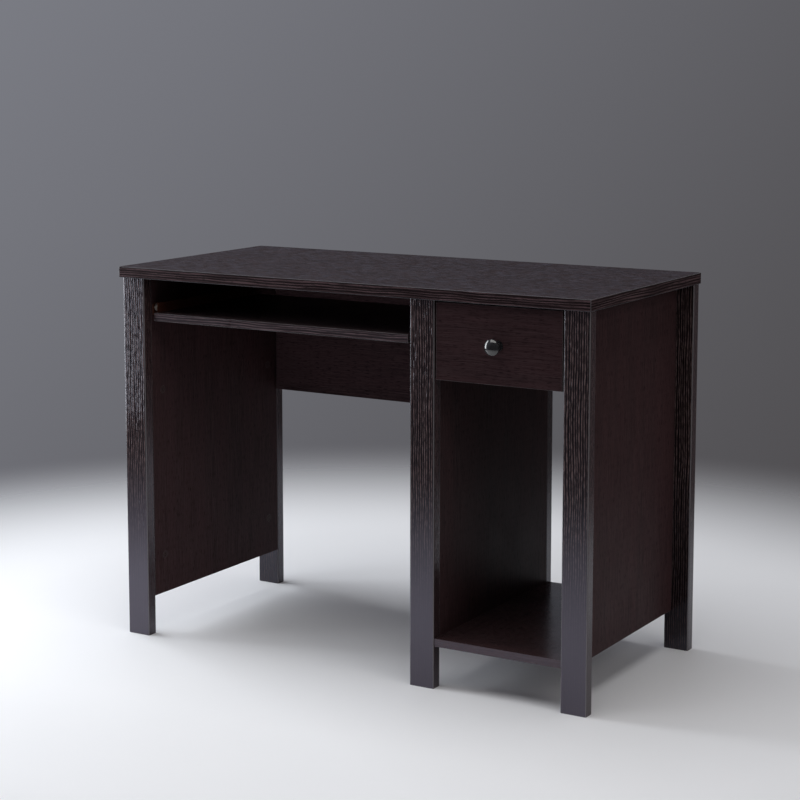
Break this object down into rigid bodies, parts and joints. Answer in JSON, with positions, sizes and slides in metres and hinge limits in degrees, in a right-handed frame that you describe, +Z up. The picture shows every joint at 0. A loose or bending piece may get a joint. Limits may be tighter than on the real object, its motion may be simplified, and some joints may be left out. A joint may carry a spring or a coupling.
{
  "type": "kneehole desk",
  "caption": "Dark wood-grain kneehole desk on flat post legs, with a sliding keyboard tray, a drawer with a round knob and an open low shelf.",
  "frame": {"origin": "on the floor, under the middle of the desk's whole box, knob included", "axes": "+Z up; +X to the sitter's right, towards the drawer; the sitter faces +Y, so tray and drawer pull out along -Y"},
  "size_m": [1.05, 0.523, 0.76],
  "materials": {
    "top_laminate": "satin embossed dark wood-grain laminate",
    "leg_laminate": "satin embossed dark wood-grain laminate",
    "panel_laminate": "smooth satin dark laminate",
    "tray_laminate": "satin dark laminate with edge band",
    "drawer_laminate": "smooth satin dark laminate",
    "drawer_board": "matt foil on particle board",
    "batten_board": "matt foil on particle board",
    "hardboard": "matt hardboard",
    "runner_enamel": "brown epoxy powder coat",
    "nylon": "moulded white nylon",
    "zinc": "dull zinc",
    "beech": "raw beech",
    "knob_enamel": "glossy black enamel on metal"
  },
  "bodies": {
    "frame": {"batten_screws": "zinc", "bottom_shelf": "panel_laminate", "channel_roller_pins": "zinc", "channel_screws": "zinc", "drawer_left_channel": "runner_enamel", "drawer_right_channel": "runner_enamel", "frame_cam_bolts": "zinc", "frame_cam_locks": "zinc", "frame_dowels": "beech", "front_left_leg": "leg_laminate", "front_middle_leg": "leg_laminate", "front_right_leg": "leg_laminate", "left_side_panel": "panel_laminate", "modesty_panel": "panel_laminate", "partition_panel": "panel_laminate", "rear_left_leg": "leg_laminate", "rear_middle_leg": "leg_laminate", "rear_right_leg": "leg_laminate", "right_side_panel": "panel_laminate", "runner_batten": "batten_board", "top_panel": "top_laminate", "tray_left_channel": "runner_enamel", "tray_right_channel": "runner_enamel"},
    "tray": {"keyboard_tray": "tray_laminate", "tray_left_rail": "runner_enamel", "tray_right_rail": "runner_enamel", "tray_roller_pins": "zinc", "tray_rail_screws": "zinc"},
    "drawer": {"drawer_front": "drawer_laminate", "drawer_left_side": "drawer_board", "drawer_right_side": "drawer_board", "drawer_back": "drawer_board", "drawer_bottom": "hardboard", "drawer_left_rail": "runner_enamel", "drawer_right_rail": "runner_enamel", "drawer_roller_pins": "zinc", "drawer_rail_screws": "zinc", "drawer_cam_locks": "zinc", "drawer_cam_bolts": "zinc", "drawer_back_screws": "zinc", "drawer_knob": "knob_enamel", "knob_screw": "zinc"},
    "drawer_left_front_roller": {"drawer_left_front_roller": "nylon"},
    "drawer_left_rear_roller": {"drawer_left_rear_roller": "nylon"},
    "drawer_right_front_roller": {"drawer_right_front_roller": "nylon"},
    "drawer_right_rear_roller": {"drawer_right_rear_roller": "nylon"},
    "tray_left_front_roller": {"tray_left_front_roller": "nylon"},
    "tray_left_rear_roller": {"tray_left_rear_roller": "nylon"},
    "tray_right_front_roller": {"tray_right_front_roller": "nylon"},
    "tray_right_rear_roller": {"tray_right_rear_roller": "nylon"}
  },
  "joints": [
    {"name": "tray_slide", "type": "slide", "parent": "frame", "child": "tray", "axis": [0, -1, 0], "range_m": [0, 0.26]},
    {"name": "drawer_slide", "type": "slide", "parent": "frame", "child": "drawer", "axis": [0, -1, 0], "range_m": [0, 0.26]},
    {"name": "drawer_left_front_roller_spin", "type": "hinge", "parent": "frame", "child": "drawer_left_front_roller", "pos_m": [0.2098, -0.1895, 0.6251], "axis": [1, 0, 0], "continuous": true},
    {"name": "drawer_left_rear_roller_spin", "type": "hinge", "parent": "drawer", "child": "drawer_left_rear_roller", "pos_m": [0.2098, 0.1365, 0.6206], "axis": [1, 0, 0], "continuous": true},
    {"name": "drawer_right_front_roller_spin", "type": "hinge", "parent": "frame", "child": "drawer_right_front_roller", "pos_m": [0.4632, -0.1895, 0.6251], "axis": [1, 0, 0], "continuous": true},
    {"name": "drawer_right_rear_roller_spin", "type": "hinge", "parent": "drawer", "child": "drawer_right_rear_roller", "pos_m": [0.4632, 0.1365, 0.6206], "axis": [1, 0, 0], "continuous": true},
    {"name": "tray_left_front_roller_spin", "type": "hinge", "parent": "frame", "child": "tray_left_front_roller", "pos_m": [-0.4632, -0.1905, 0.6761], "axis": [1, 0, 0], "continuous": true},
    {"name": "tray_left_rear_roller_spin", "type": "hinge", "parent": "tray", "child": "tray_left_rear_roller", "pos_m": [-0.4632, 0.1355, 0.6716], "axis": [1, 0, 0], "continuous": true},
    {"name": "tray_right_front_roller_spin", "type": "hinge", "parent": "frame", "child": "tray_right_front_roller", "pos_m": [0.1462, -0.1905, 0.6761], "axis": [1, 0, 0], "continuous": true},
    {"name": "tray_right_rear_roller_spin", "type": "hinge", "parent": "tray", "child": "tray_right_rear_roller", "pos_m": [0.1462, 0.1355, 0.6716], "axis": [1, 0, 0], "continuous": true}
  ],
  "couplings": [
    {"joint": "drawer_left_front_roller_spin", "follows": "drawer_slide", "rad_per_m": 117.65},
    {"joint": "drawer_left_rear_roller_spin", "follows": "drawer_slide", "rad_per_m": 117.65},
    {"joint": "drawer_right_front_roller_spin", "follows": "drawer_slide", "rad_per_m": 117.65},
    {"joint": "drawer_right_rear_roller_spin", "follows": "drawer_slide", "rad_per_m": 117.65},
    {"joint": "tray_left_front_roller_spin", "follows": "tray_slide", "rad_per_m": 117.65},
    {"joint": "tray_left_rear_roller_spin", "follows": "tray_slide", "rad_per_m": 117.65},
    {"joint": "tray_right_front_roller_spin", "follows": "tray_slide", "rad_per_m": 117.65},
    {"joint": "tray_right_rear_roller_spin", "follows": "tray_slide", "rad_per_m": 117.65}
  ]
}
